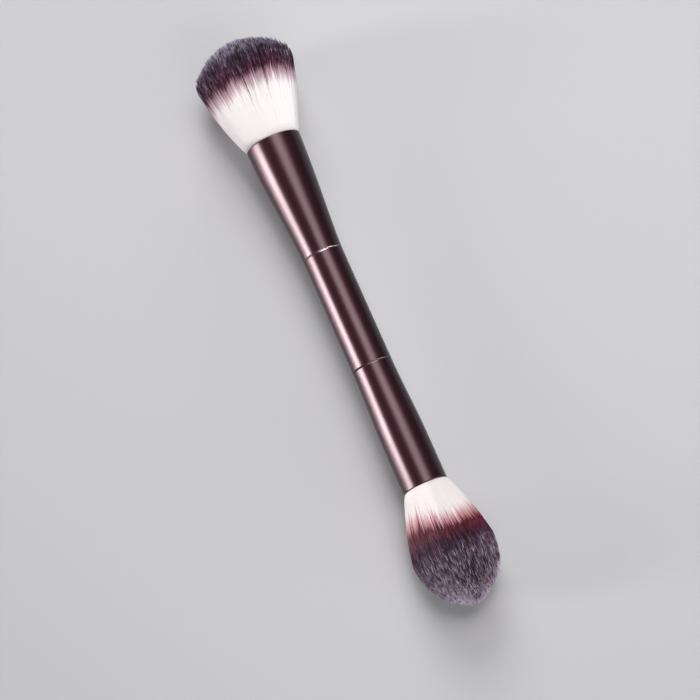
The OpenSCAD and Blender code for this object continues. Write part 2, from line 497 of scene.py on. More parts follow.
class Clumps:
    """Fibres cling together in clumps, which share a shade and are drawn together at the tips."""

    def __init__(self, size, random):
        self.size = size
        self.middle_x, self.middle_y, self.shade, self.paleness = random.uniform(0, 1, (4, CELLS))
        self.end, self.stray, *veer = random.normal(0, 1, (4, CELLS))
        self.veer = np.array(veer)

    def cell(self, x, y):
        """The cell that each place lies in, and the middle of its clump."""
        i = np.floor(x / self.size).astype(int)
        j = np.floor(y / self.size).astype(int)
        index = (i * STEP_X + j * STEP_Y) % CELLS
        room = 1 - 2 * CELL_EDGE
        middle_x = (i + CELL_EDGE + room * self.middle_x[index]) * self.size
        middle_y = (j + CELL_EDGE + room * self.middle_y[index]) * self.size
        return index, middle_x, middle_y


# A fibre has three sides, and is this much of its thickness where it starts to close, just before its end
SIDES = 3
TIP_TAPER = 0.7

# The left edge, the right edge and the middle of the part of a map's column that a fibre takes
COLUMN_PLACES = (0.15, 0.85, 0.5)


def face_corners(*pairs):
    """The map's corners of faces, from each corner's place across and up."""
    return np.stack([np.stack(np.broadcast_arrays(u, v), -1) for u, v in pairs], -2)


def step_of(share, steps):
    """Which of so many equal steps a share from 0 to 1 falls in."""
    return np.floor(share * (steps - 0.01))


def fibre_mesh(name, paths, fibre_r, shade, level):
    """Closed fibres. paths is (fibres, rings, 3), and the last ring is drawn to a point.

    shade is each fibre's and level is each ring's, both from 0 to 1, for their place on the map.
    """
    n, k = paths.shape[:2]
    radii = fibre_r[:, None] * np.where(np.arange(k) < k - 2, 1, TIP_TAPER)
    along = unit(np.gradient(paths, axis=1))
    outward = unit(np.cross(along, np.roll(AXIS, 1)))
    beside = np.cross(along, outward)
    turn = np.arange(SIDES) * 2 * math.pi / SIDES
    rings = (
        paths[:, :-1, None]
        + radii[:, :-1, None, None] * np.cos(turn)[:, None] * outward[:, :-1, None]
        + radii[:, :-1, None, None] * np.sin(turn)[:, None] * beside[:, :-1, None]
    )
    body = (k - 1) * SIDES
    points = np.concatenate([rings.reshape(n, body, 3), paths[:, -1:]], 1).reshape(-1, 3)

    first = (np.arange(n) * (body + 1))[:, None, None]
    side = np.arange(SIDES)
    over = (side + 1) % SIDES
    ring = (np.arange(k - 2) * SIDES)[:, None]
    last = (k - 2) * SIDES
    quads = np.stack([ring + side, ring + over, ring + SIDES + over, ring + SIDES + side], -1)
    quads = (first + quads.reshape(1, -1, 4)).reshape(-1, 4)
    tips = np.stack([last + side, last + over, np.full(SIDES, body)], -1)
    tips = (first + tips[None]).reshape(-1, 3)
    roots = first[:, 0] + side[::-1][None]

    column = step_of(level[:, -1], TIP_STEPS) * SHADES + step_of(shade, SHADES)
    left, right, middle = ((column + at) / COLUMNS for at in COLUMN_PLACES)
    wide = left[:, None], right[:, None]
    lower, upper = level[:, :-2], level[:, 1:-1]
    quad_uv = face_corners((wide[0], lower), (wide[1], lower), (wide[1], upper), (wide[0], upper))
    tip_uv = face_corners((left, level[:, -2]), (right, level[:, -2]), (middle, level[:, -1]))
    root_uv = face_corners((left, level[:, 0]), (right, level[:, 0]), (middle, level[:, 1]))
    uvs = [np.repeat(quad_uv, SIDES, 1), np.repeat(tip_uv, SIDES, 0), root_uv]
    return new_mesh(name, points, [quads, tips, roots], uvs)


# Locks are this many times as wide as clumps
LOCK_SIZE = 2.4

# Clumps gather from this share of the head's length on
GATHER_FROM = 0.5

# Over this length before its end a fibre veers off its way, with its clump and by itself
VEER_LENGTH = 8 * MM
CLUMP_VEER = 0.45 * MM
FIBRE_VEER = 0.25 * MM

# How far a fibre turns about the axis, how far out it may lie and how far on it counts, as shares of the head
TURN = 0.012
FULLEST = 1.02
FARTHEST = 1.1

# The dye's edge is ragged up to the first distance past the wine band's start, and less so from the second on
RAGGED_TO = np.array([1, 9]) * MM
RAGGED = (1, 0.25)

# Shares of the fibres on which the dye starts much nearer the root or the tip, and by how many waves
NEARER_ROOT = 0.05
ROOT_WAVES = (1, 3.5)
NEARER_TIP = 0.06
TIP_WAVES = (0.8, 2.8)


# How many waves the dye strays with a clump, what is added on clumps that stray far, and how far that
# goes towards the tip and the root. Then how many it strays on each fibre by itself
CLUMP_STRAY = 0.4
FAR_STRAY = 0.12
STRAY_LIMITS = (-1.5, 2.4)
FIBRE_STRAY = 0.35


def dye_strays(clump, random):
    """How many waves the dye strays on each fibre: with its clump, by itself, and far on the odd one."""
    n = len(clump)
    stray = np.clip(CLUMP_STRAY * clump + FAR_STRAY * clump**3, *STRAY_LIMITS)
    stray = stray + FIBRE_STRAY * random.normal(0, 1, n)
    odd = random.uniform(0, 1, n)
    to_root = np.where(odd < NEARER_ROOT, random.uniform(*ROOT_WAVES, n), 0)
    to_tip = np.where(odd > 1 - NEARER_TIP, random.uniform(*TIP_WAVES, n), 0)
    return stray + to_root - to_tip


# Share of the fibres that have their clump's shade, without locks, and what locks add to it
ALIKE = 0.55
ALIKE_IN_LOCKS = 0.35

# How far shades differ
SHADE_RANGE = 0.9

# Painted side light: the fibres round the sides are painted paler and those on top darker, for how the light
# and the slanting view fall on them. How far round from the side the fibres are palest, how far the rest are
# darker, and the share of both that is left on the fibres that start at the mouth
SIDE_LIGHT_TURN = math.radians(15)
SIDE_LIGHT_LEVEL = 0.35
LEAST_SIDE_LIGHT = 0.15


def fibre_shades(head, a, start, clump_shade, clump_paleness, lock_shade, fuzz, random):
    """The shade of each fibre, from 0 to 1. The map's last shade is kept for the palest fibres."""
    p = head.set
    n = len(a)
    alike = random.uniform(0, 1, n)
    shade = np.where(alike < ALIKE + ALIKE_IN_LOCKS * p.locks, clump_shade, random.uniform(0, 1, n))
    shade = 0.5 + SHADE_RANGE * (shade - 0.5) + p.locks * (lock_shade - 0.5)
    # Painted side light: paler at the sides and darker on top
    beside = (np.cos(a - SIDE_LIGHT_TURN) ** 2 - SIDE_LIGHT_LEVEL) * np.clip(start / p.belly, LEAST_SIDE_LIGHT, 1)
    shade = np.clip(shade + p.sides * beside, 0, 1)
    paleness = np.where(alike < p.locks, clump_paleness, random.uniform(0, 1, n))
    return np.where(fuzz | (paleness < p.fuzz), 1, shade * (1 - 1 / SHADES))


def fibres(name, head, m, a, start, end, steps, fibre_r, random, pull, fuzz):
    """Fibres that keep to the head's flow from start to end, and gather in clumps.

    m and a are the share of the mouth's radius and the angle at which a fibre starts. steps are the
    places of its rings along it, fibre_r is each fibre's own radius, and fuzz marks the palest fibres.
    """
    n = len(m)
    clumps = Clumps(head.set.clump / head.r, random_for(head, "clumps"))
    locks = Clumps(LOCK_SIZE * clumps.size, random_for(head, "locks"))
    x, y = m * np.cos(a), m * np.sin(a)
    lock_shade = locks.shade[locks.cell(x, y)[0]]
    index, middle_x, middle_y = clumps.cell(x, y)
    end = end + head.set.uneven * clumps.end[index]
    s = start[:, None] + (end - start)[:, None] * np.array(steps)
    share = np.clip(s / head.length, 0, FARTHEST)

    gather = pull * ease(np.clip((share - GATHER_FROM) / (1 - GATHER_FROM), 0, 1))
    veer = np.clip(1 - (end[:, None] - s) / VEER_LENGTH, 0, 1) ** 2 / head.r
    veer_x, veer_y = CLUMP_VEER * clumps.veer[:, index] + FIBRE_VEER * random.normal(0, 1, (2, n))
    x = x[:, None] + (middle_x - x)[:, None] * gather + veer_x[:, None] * veer
    y = y[:, None] + (middle_y - y)[:, None] * gather + veer_y[:, None] * veer
    angle = np.arctan2(y, x) + random.normal(0, TURN, n)[:, None] * share
    out = np.minimum(np.hypot(x, y), FULLEST)
    relief = RELIEF * head.lock(angle, share) * np.clip(share, 0, 1) * out**2
    r = out * (head.flow(s) * (1 + FUZZ / head.r) + head.clear_of_rim(s)) + relief

    stray = Dye(head).edge(a) + head.set.wave * dye_strays(clumps.stray[index], random)
    level = head.level(s + stray[:, None] * np.interp(s, head.set.wine_at + RAGGED_TO, RAGGED))
    shade = fibre_shades(
        head, a, start, clumps.shade[index], clumps.paleness[index], lock_shade, fuzz, random
    )
    return fibre_mesh(name, head.put(s, angle, r), fibre_r, shade, level)


# Shader nodes

def feed(tree, socket, value):
    """Link a socket to another, or set its value."""
    if isinstance(value, bpy.types.NodeSocket):
        tree.links.new(value, socket)
    elif socket.type == "RGBA":
        socket.default_value = (*value[:3], 1)
    else:
        socket.default_value = value


def add(tree, kind, **values):
    """A shader node with its inputs set by name, or its own settings where it has no such input."""
    node = tree.nodes.new(kind)
    for key, value in values.items():
        label = key.replace("_", " ")
        if label in node.inputs:
            feed(tree, node.inputs[label], value)
        else:
            setattr(node, key, value)
    return node


def maths(tree, operation, a, b=0.0, c=0.0):
    node = add(tree, "ShaderNodeMath", operation=operation)
    for socket, value in zip(node.inputs, (a, b, c)):
        feed(tree, socket, value)
    return node.outputs[0]


def smooth_step(tree, value, low, high):
    """From 0 at the low value to 1 at the high one."""
    node = add(
        tree, "ShaderNodeMapRange", interpolation_type="SMOOTHSTEP", Value=value, From_Min=low, From_Max=high
    )
    return node.outputs[0]


def mix(tree, factor, a, b):
    node = add(tree, "ShaderNodeMix", data_type="RGBA")
    colours = [s for s in node.inputs if s.type == "RGBA"]
    for socket, value in zip((node.inputs[0], *colours), (factor, a, b)):
        feed(tree, socket, value)
    return next(s for s in node.outputs if s.type == "RGBA")


def new_group(name, inputs, outputs):
    """A shader node group with its sockets, and its first and last node."""
    group = bpy.data.node_groups.new(name, "ShaderNodeTree")
    for label, kind in inputs:
        group.interface.new_socket(label, in_out="INPUT", socket_type=kind)
    for label, kind in outputs:
        group.interface.new_socket(label, in_out="OUTPUT", socket_type=kind)
    return group, group.nodes.new("NodeGroupInput"), group.nodes.new("NodeGroupOutput")


FLOAT, COLOUR, VECTOR = "NodeSocketFloat", "NodeSocketColor", "NodeSocketVector"

# How far apart neighbouring shades and ends read the flecks' noise, so that each has its own flecks
SHADE_APART = 71.3
END_APART = 37.0

# The noise's values over which a fleck fades in: upwards for the pale ones, downwards for the dark ones
PALE_FLECKS = (0.51, 0.61)
DARK_FLECKS = (0.47, 0.36)


def flecks_group():
    """Short stretches of a fibre that are paler or darker than the rest; the dark ones are partly painted
    shade.
    """
    name = "Flecks"
    if name in bpy.data.node_groups:
        return bpy.data.node_groups[name]
    tree, first, last = new_group(
        name,
        [("Shade", FLOAT), ("Tip Level", FLOAT), ("Level", FLOAT), ("Number", FLOAT)],
        [("Light", FLOAT), ("Dark", FLOAT)],
    )
    get = first.outputs
    along = maths(tree, "MULTIPLY", get["Level"], get["Number"])
    across = maths(tree, "MULTIPLY", get["Tip Level"], END_APART)
    across = maths(tree, "MULTIPLY_ADD", get["Shade"], SHADE_APART, across)
    where = add(tree, "ShaderNodeCombineXYZ", X=across, Y=along).outputs[0]
    noise = add(tree, "ShaderNodeTexNoise", noise_dimensions="2D", Vector=where, Scale=1.0, Detail=1.0)
    tree.links.new(smooth_step(tree, noise.outputs["Fac"], *PALE_FLECKS), last.inputs["Light"])
    tree.links.new(smooth_step(tree, noise.outputs["Fac"], *DARK_FLECKS), last.inputs["Dark"])
    return tree


# How far before and after its own level each band of dye sets in, as shares of the map
BANDS = {
    "Blush": (0.065, 0.03),
    "Wine": (0.04, 0.045),
    "Plum": (0.05, 0.05),
    "Lilac": (0.08, 0.08),
}

# The same for effects: dark fibres in the dyed stretch, pale streaks, the streaks' strength among the
# lilac, the paling towards the ends, and the rim of the dome
DARKENING = (0.02, 0.07)
STREAKING = (-0.01, 0.07)
LILAC_STREAKING = (0.08, 0.02)
PALING = (0.11, 0.06)
RIM_PALING = (0.0, 0.06)

# How pale streaks are among the lilac, and how pale ends are at the rim, where the extra paleness is painted
# rim light
LILAC_STREAK = 0.42
RIM_STRENGTH = 1.1

# How far ends and streaks show on plain fibres, and how much more on bright and on the palest ones
PLAIN_ENDS, BRIGHT_ENDS = 0.2, 0.8
PLAIN_STREAKS, BRIGHT_STREAKS, PALEST_STREAKS = 0.1, 0.7, 0.9

# How far frost shows before the paling, and how much more beyond it
EARLY_FROST, LATE_FROST = 0.3, 0.7

# How much darker dark fibres are, and how much less so beyond the paling. The darkness is partly the fibres'
# own darker dye and partly painted shade in the gaps between clumps
DARKEST, DARKEST_EASED = -0.75, 0.02

# The shades that run from dark to plain, from plain to bright, and from bright to palest
DARK_SHADES = (0.5, 0.0)
BRIGHT_SHADES = (0.25, 0.95)
PALEST_SHADES = (0.93, 0.97)


def dip_dye_and_shade_group():
    """Dip dye and shade: an undyed root and bands of dye, with pale ends and streaks, and darker fibres
    between, partly painted shade.
    """
    name = "Dip dye"
    if name in bpy.data.node_groups:
        return bpy.data.node_groups[name]
    numbers = (
        "Level", "To Tip", "Shade", *(band + " At" for band in BANDS), "Tip Length", "Tip Strength",
        "Rim At", "Frost Length", "Streak", "Light", "Dark",
    )
    sockets = [(label, FLOAT) for label in numbers] + [(label, COLOUR) for label in ("Root", *BANDS, "Tip")]
    tree, first, last = new_group(name, sockets, [("Color", COLOUR)])
    get = first.outputs

    def times(a, b):
        return maths(tree, "MULTIPLY", a, b)

    def scaled(value, share, base):
        return maths(tree, "MULTIPLY_ADD", value, share, base)

    def past(at, before, after):
        """From 0 at so far before a level to 1 at so far after it."""
        low = maths(tree, "SUBTRACT", get[at], before)
        return smooth_step(tree, get["Level"], low, maths(tree, "ADD", get[at], after))

    dye = get["Root"]
    for band, room in BANDS.items():
        dye = mix(tree, past(band + " At", *room), dye, get[band])
    bright = smooth_step(tree, get["Shade"], *BRIGHT_SHADES)
    palest = smooth_step(tree, get["Shade"], *PALEST_SHADES)
    paling = past("Lilac At", *PALING)

    # The pale ends of most fibres, which are palest at the rim of the dome: the pale ends are the fibres'
    # own, and the extra paleness at the rim is painted rim light
    ends = smooth_step(tree, get["To Tip"], get["Tip Length"], 0.0)
    rim = times(past("Rim At", *RIM_PALING), maths(tree, "SUBTRACT", RIM_STRENGTH, get["Tip Strength"]))
    ends = times(ends, maths(tree, "ADD", get["Tip Strength"], rim))
    ends = times(times(ends, paling), scaled(bright, BRIGHT_ENDS, PLAIN_ENDS))

    # The pale flecks, which make streaks in the dark bands
    more = times(past("Lilac At", *LILAC_STREAKING), maths(tree, "SUBTRACT", LILAC_STREAK, get["Streak"]))
    streaks = times(get["Light"], maths(tree, "ADD", more, get["Streak"]))
    streaks = times(streaks, past("Wine At", *STREAKING))
    on_bright = scaled(bright, BRIGHT_STREAKS, PLAIN_STREAKS)
    streaks = times(streaks, scaled(palest, PALEST_STREAKS, on_bright))

    # The frosted ends of the palest fibres
    frost = smooth_step(tree, get["To Tip"], get["Frost Length"], 0.0)
    frost = times(times(frost, scaled(paling, LATE_FROST, EARLY_FROST)), palest)
    pale = maths(tree, "MAXIMUM", maths(tree, "MAXIMUM", ends, streaks), frost)
    dye = mix(tree, pale, dye, get["Tip"])

    # The dark fibres and flecks, partly their own darker dye and partly painted shade between the clumps
    dark = maths(tree, "MAXIMUM", smooth_step(tree, get["Shade"], *DARK_SHADES), get["Dark"])
    dark = times(dark, maths(tree, "SUBTRACT", past("Wine At", *DARKENING), frost))
    dark = times(dark, scaled(paling, DARKEST_EASED, DARKEST))
    tint = add(tree, "ShaderNodeHueSaturation", Value=maths(tree, "ADD", dark, 1.0), Color=dye)
    tree.links.new(tint.outputs[0], last.inputs["Color"])
    return tree


def fine_grain_group():
    """Fine grain: a spotty mask from noise that each direction's scale draws out."""
    name = "Fine grain"
    if name in bpy.data.node_groups:
        return bpy.data.node_groups[name]
    tree, first, last = new_group(
        name,
        [("Scale", VECTOR), ("Detail", FLOAT), ("Contrast", FLOAT)],
        [("Mask", FLOAT)],
    )
    get = first.outputs
    place_node = tree.nodes.new("ShaderNodeTexCoord")
    scaled = add(tree, "ShaderNodeVectorMath", operation="MULTIPLY")
    tree.links.new(place_node.outputs["Object"], scaled.inputs[0])
    tree.links.new(get["Scale"], scaled.inputs[1])
    noise = add(tree, "ShaderNodeTexNoise", Vector=scaled.outputs[0], Detail=get["Detail"], Scale=1.0)
    centred = maths(tree, "SUBTRACT", noise.outputs["Fac"], 0.5)
    tree.links.new(maths(tree, "MULTIPLY_ADD", centred, get["Contrast"], 0.5), last.inputs["Mask"])
    return tree


def new_material(name):
    """An empty node material with its Principled shader and output."""
    material = bpy.data.materials.new(name)
    material.use_nodes = True
    tree = material.node_tree
    tree.nodes.clear()
    shader = tree.nodes.new("ShaderNodeBsdfPrincipled")
    output = tree.nodes.new("ShaderNodeOutputMaterial")
    tree.links.new(shader.outputs[0], output.inputs["Surface"])
    return material, tree, shader


def group_node(tree, group, **values):
    """A node group placed in a material, with its inputs set by name."""
    node = tree.nodes.new("ShaderNodeGroup")
    node.node_tree = group
    for key, value in values.items():
        feed(tree, node.inputs[key.replace("_", " ")], value)
    return node


def shaded(tree, grain, tone, darker, lighter):
    """A colour that the grain's mask makes darker and lighter."""
    return mix(tree, grain.outputs["Mask"], [c * darker for c in tone], [min(c * lighter, 1) for c in tone])


def bumped(tree, shader, grain, strength, depth):
    bump = add(tree, "ShaderNodeBump", Strength=strength, Distance=depth, Height=grain.outputs["Mask"])
    tree.links.new(bump.outputs[0], shader.inputs["Normal"])


FLECK_LENGTH = 2.4 * MM
BRISTLE_ROUGHNESS = 0.48
BRISTLE_SPECULAR = 0.2


def bristle_material(name, head, with_tips):
    """Dyed fibre, with painted shade and painted light in its colour. The map holds the fibre's end and its
    shade across, and the place along it upwards.
    """
    p = head.set
    material, tree, shader = new_material(name)
    uv = add(tree, "ShaderNodeUVMap", uv_map=UV_NAME)
    parts = add(tree, "ShaderNodeSeparateXYZ", Vector=uv.outputs[0])
    level = parts.outputs["Y"]
    # A core has no ends and the darkest shade, so where it is dyed it is painted dark, as shade in the gaps
    # between the fibres
    values = {"Level": level, "To Tip": 1.0, "Shade": 0.0}
    if with_tips:
        step = maths(tree, "MULTIPLY", parts.outputs["X"], TIP_STEPS)
        tip_level = maths(tree, "DIVIDE", maths(tree, "ADD", maths(tree, "FLOOR", step), 0.5), TIP_STEPS)
        column = maths(tree, "FLOOR", maths(tree, "MULTIPLY", maths(tree, "FRACT", step), SHADES))
        shade = maths(tree, "DIVIDE", column, SHADES - 1)
        flecks = group_node(
            tree, flecks_group(), Shade=shade, Tip_Level=tip_level, Level=level,
            Number=head.length / FLECK_LENGTH,
        )
        values["To Tip"] = maths(tree, "SUBTRACT", tip_level, level)
        values["Shade"] = shade
        values["Light"], values["Dark"] = flecks.outputs["Light"], flecks.outputs["Dark"]
    for setting in ("blush_at", "wine_at", "plum_at", "lilac_at", "rim_at"):
        values[setting.replace("_", " ").title()] = float(head.level(getattr(p, setting)))
    for setting in ("root", "blush", "wine", "plum", "lilac", "tip"):
        values[setting.title()] = getattr(p, setting)
    dye = group_node(
        tree, dip_dye_and_shade_group(), **values, Tip_Strength=p.tip_strength, Streak=p.streak,
        Tip_Length=p.tip_length / head.map_length, Frost_Length=p.frost / head.map_length,
    )
    tree.links.new(dye.outputs["Color"], shader.inputs["Base Color"])
    shader.inputs["Roughness"].default_value = BRISTLE_ROUGHNESS
    shader.inputs["Specular IOR Level"].default_value = BRISTLE_SPECULAR
    return material


# How far the metal's colour and roughness vary, how deep its turning marks are, and its clear seal
METAL_CLOUDING = 0.12
MARK_ROUGHNESS = 0.06
MARK_STRENGTH = 0.06
MARK_DEPTH = 0.02 * MM
SEAL_IOR = 1.52

# A bright cut bevel is this much smoother than the metal under the seal
CUT_SMOOTHER = 0.5


def metal_material(name, handle, turning, start_cut, end_cut):
    """Dark anodised aluminium with fine turning marks, and its two bevels cut as bright as the cuts say."""
    material, tree, shader = new_material(name)
    marks = group_node(tree, fine_grain_group(), Scale=turning, Detail=3.0, Contrast=1.6)
    cloud = group_node(tree, fine_grain_group(), Scale=(70, 160, 160), Detail=4.0, Contrast=1.0)
    base = shaded(tree, cloud, handle.metal, 1 - METAL_CLOUDING, 1 + METAL_CLOUDING)
    smoothest = handle.satin - MARK_ROUGHNESS / 2
    rough = maths(tree, "MULTIPLY_ADD", marks.outputs["Mask"], MARK_ROUGHNESS, smoothest)
    uv = add(tree, "ShaderNodeUVMap", uv_map=UV_NAME)
    parts = add(tree, "ShaderNodeSeparateXYZ", Vector=uv.outputs[0])
    row = maths(tree, "MULTIPLY", parts.outputs["Y"], TUBE_ROWS)
    half = (BEVEL_STEPS - 1) / 2
    cuts = [
        maths(tree, "MULTIPLY", maths(tree, "COMPARE", row, first + half, half), share)
        for first, share in ((0, start_cut), (BEVEL_STEPS + TUBE_STEPS, end_cut))
    ]
    cut = maths(tree, "MAXIMUM", *cuts)
    smoother = maths(tree, "MULTIPLY_ADD", cut, -CUT_SMOOTHER, 1.0)
    feed(tree, shader.inputs["Base Color"], mix(tree, cut, base, handle.bare))
    feed(tree, shader.inputs["Roughness"], maths(tree, "MULTIPLY", rough, smoother))
    feed(tree, shader.inputs["Coat Weight"], maths(tree, "SUBTRACT", 1.0, cut))
    shader.inputs["Coat Roughness"].default_value = handle.gloss
    shader.inputs["Coat IOR"].default_value = SEAL_IOR
    shader.inputs["Metallic"].default_value = 1.0
    shader.inputs["Specular Tint"].default_value = (*handle.edge, 1)
    bumped(tree, shader, marks, MARK_STRENGTH, MARK_DEPTH)
    return material


GRAIN_DARKER = 0.72
GRAIN_LIGHTER = 1.15
GRAIN_STRENGTH = 0.3


def grained_material(name, tone, scale, contrast, rough, depth):
    """A plain finish with grain in its colour and its surface: wood, resin or thread."""
    material, tree, shader = new_material(name)
    grain = group_node(tree, fine_grain_group(), Scale=scale, Detail=5.0, Contrast=contrast)
    feed(tree, shader.inputs["Base Color"], shaded(tree, grain, tone, GRAIN_DARKER, GRAIN_LIGHTER))
    shader.inputs["Roughness"].default_value = rough
    bumped(tree, shader, grain, GRAIN_STRENGTH, depth)
    return material


# The heads. Their seeds keep their random numbers and their grooves apart, as in the frame's solids
HEADS = ("powder", "tapered")
SEED = {"powder": 0, "tapered": 120}


def head_of(scene, which):
    node = which + "_bristles"
    if which == "powder":
        settings, mouth, tip, mouth_r = scene.powder_head, POWDER_TUBE[1], reach(node)[1], POWDER_MOUTH_R
    else:
        settings, mouth, tip, mouth_r = scene.tapered_head, TAPERED_TUBE[0], reach(node)[0], TAPERED_MOUTH_R
    return Head(settings, node, mouth, tip, mouth_r, SEED[which])


# Scales of the turning marks along the brush and across it, a little apart from piece to piece
FERRULE_TURNING = (5200, 140, 140)
SLEEVE_TURNING = (4700, 150, 150)


class BRUSH_OT_ferrules(bpy.types.Operator):
    """Make the two flared metal tubes that hold the bristles"""

    bl_idname = "brush_part.ferrules"
    bl_label = "Ferrules"

    def execute(self, context):
        p = context.scene.brush_handle

        def powder_radius(d):
            t = (d / (POWDER_TUBE[1] - POWDER_TUBE[0])) ** p.early
            return WAIST_R + (POWDER_MOUTH_R - WAIST_R) * (p.cone_share * t + (1 - p.cone_share) * ease(t))

        def tapered_radius(d):
            return WAIST_R + (TAPERED_MOUTH_R - WAIST_R) * ease(min(1, d / p.flare))

        for which, radius_at, (start, end), cut in (
            ("powder", powder_radius, POWDER_TUBE, p.powder_cut),
            ("tapered", tapered_radius, TAPERED_TUBE[::-1], p.tapered_cut),
        ):
            metal = metal_material(which + "_ferrule_anodised", p, FERRULE_TURNING, cut, 0)
            outline = tube_outline(radius_at, start, end, p.bevel)
            turned(which + "_ferrule_tube", outline, metal, which + "_ferrule")
        return {"FINISHED"}


class BRUSH_OT_sleeve(bpy.types.Operator):
    """Make the straight metal sleeve between the ferrules"""

    bl_idname = "brush_part.sleeve"
    bl_label = "Centre sleeve"

    def execute(self, context):
        p = context.scene.brush_handle
        outline = tube_outline(lambda d: WAIST_R, SLEEVE[0], SLEEVE[1], p.bevel)
        metal = metal_material("sleeve_anodised", p, SLEEVE_TURNING, p.tapered_cut, p.powder_cut)
        turned("centre_sleeve_tube", outline, metal, "centre_sleeve")
        return {"FINISHED"}


class BRUSH_OT_inner_parts(bpy.types.Operator):
    """Finish the dowel, the resin and the bindings inside the handle"""

    bl_idname = "brush_part.inner_parts"
    bl_label = "Inner parts"

    def execute(self, context):
        p = context.scene.brush_handle
        # Each has its colour, its grain's scale along and across, its contrast, its roughness and its depth
        wood = grained_material("dowel_birch", p.wood, (60, 900, 900), 1.4, 0.6, 0.05 * MM)
        resin = grained_material("root_resin", p.resin, (400, 400, 400), 0.6, 0.25, 0.02 * MM)
        thread = grained_material("binding_thread", p.thread, (6000, 900, 900), 1.2, 0.7, 0.08 * MM)
        finishes = {
            "core_dowel": wood,
            "powder_glue": resin,
            "tapered_glue": resin,
            "powder_binding": thread,
            "tapered_binding": thread,
        }
        for node, material in finishes.items():
            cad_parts[node].material_slots[0].material = material
        return {"FINISHED"}


# Points along and round a core. The rows crowd towards its end
CORE_ROWS = 90
CORE_COLUMNS = 360
CORE_CROWDING = 1.5

# A core lies this share of its radius inside the fibres, and that much more at its end, which lies
# this far before the fibres' ends. It reaches this far into the mouth, and this far above the floor
CORE_INSET = 0.007
CORE_END_INSET = 0.063
CORE_DROP = 2.2 * MM
CORE_FOOT = 1.0 * MM
CORE_GAP = 0.5 * MM

# The grooves between fibres that show on a core, the least radius of its end, and the places on the
# map of its foot and its end
CORE_GROOVES = 180
CORE_GROOVE_DEPTH = 0.08 * MM
CORE_END_R = 0.02 * MM
CORE_END_PLACES = (0.02, 0.98)


class BRUSH_OT_bristle_cores(bpy.types.Operator):
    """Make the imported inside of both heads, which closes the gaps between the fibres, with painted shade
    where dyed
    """

    bl_idname = "brush_part.bristle_cores"
    bl_label = "Bristle cores"

    def execute(self, context):
        for which in HEADS:
            head = head_of(context.scene, which)
            a = np.linspace(0, 2 * math.pi, CORE_COLUMNS, endpoint=False)
            size = head.length - CORE_DROP
            share = 1 - (1 - np.linspace(0, 1, CORE_ROWS)[:, None]) ** CORE_CROWDING
            s = share * size
            r = head.outline(s * head.length / size) + head.clear_of_rim(s)
            r = r * (1 - CORE_INSET - CORE_END_INSET * share**2)
            groove = ring_noise(random_for(head, "core"), CORE_GROOVES)
            relief = CORE_GROOVE_DEPTH * groove(a) + RELIEF * head.lock(a, share)
            r = np.maximum(r, CORE_END_R) + relief * share * r / head.r
            foot = np.where(share == 0, CORE_FOOT, 0)
            points = head.put(s - foot, a, r, CORE_GAP).reshape(-1, 3)

            quads, uv = grid_faces(CORE_ROWS, CORE_COLUMNS, False)
            level = head.level(s + Dye(head).edge(a)).ravel()
            uv[..., 1] = level[quads]
            round_end = np.arange(CORE_COLUMNS)[None]
            ends = [round_end[:, ::-1], round_end + (CORE_ROWS - 1) * CORE_COLUMNS]
            end_uv = [np.full((1, CORE_COLUMNS, 2), at) for at in CORE_END_PLACES]
            mesh = new_mesh(which + "_core", points, [quads, *ends], [uv, *end_uv])
            if head.way < 0:
                mesh.flip_normals()
            material = bristle_material(which + "_core_dye_and_shade", head, False)
            new_object(which + "_core", mesh, material, head.node)
        return {"FINISHED"}


# Multiples of this, less their whole part, spread evenly however many there are
GOLDEN = 0.618034

# Where along a fibre its rings lie, from its start to its end
LONG_STEPS = (0, 0.12, 0.28, 0.48, 0.7, 0.96, 1)
SHORT_STEPS = (0, 0.45, 0.92, 1)

# Side fibres start this far inside the mouth, in this outer share of its radius, mostly at its edge
SIDE_FOOT = 0.6 * MM
SIDE_SHARE = 0.06
SIDE_CROWDING = 2.4

# They lie up to this many places on from even ones, their ends differ by this much, and clumps of them
# are drawn together this far. Their radii are in millimetres
SIDE_SCATTER = 6
SIDE_UNEVEN = 0.15 * MM
SIDE_PULL = 0.5
SIDE_RADII = (0.06, 0.09)


class BRUSH_OT_side_bristles(bpy.types.Operator):
    """Make the fibres that show all the way from each mouth to the belly"""

    bl_idname = "brush_part.side_bristles"
    bl_label = "Side bristles"

    def execute(self, context):
        for which in HEADS:
            head = head_of(context.scene, which)
            random = random_for(head, "side")
            n = head.set.side_fibres
            name = which + "_side_bristles"
            m = 1 - SIDE_SHARE * (np.arange(n) * GOLDEN % 1) ** SIDE_CROWDING
            a = (np.arange(n) + random.uniform(0, SIDE_SCATTER, n)) / n * 2 * math.pi
            end = head.tip_of(m) + random.normal(0, SIDE_UNEVEN, n)
            start = np.full(n, -SIDE_FOOT)
            fibre_r = random.uniform(*SIDE_RADII, n) * MM
            mesh = fibres(name, head, m, a, start, end, LONG_STEPS, fibre_r, random, SIDE_PULL, False)
            material = bristle_material(which + "_side_dye_and_shade", head, True)
            new_object(name, mesh, material, head.node)
        return {"FINISHED"}


# How far the ends of dome fibres differ, and their lengths and radii in millimetres
DOME_UNEVEN = 0.12 * MM
DOME_LENGTHS = (7, 10)
DOME_RADII = (0.06, 0.095)

# Fibres of the fuzz stand this many millimetres proud, and are this share as thick as the others
FUZZ_PROUD = (0.2, 0.9)
FUZZ_THICKNESS = 0.65


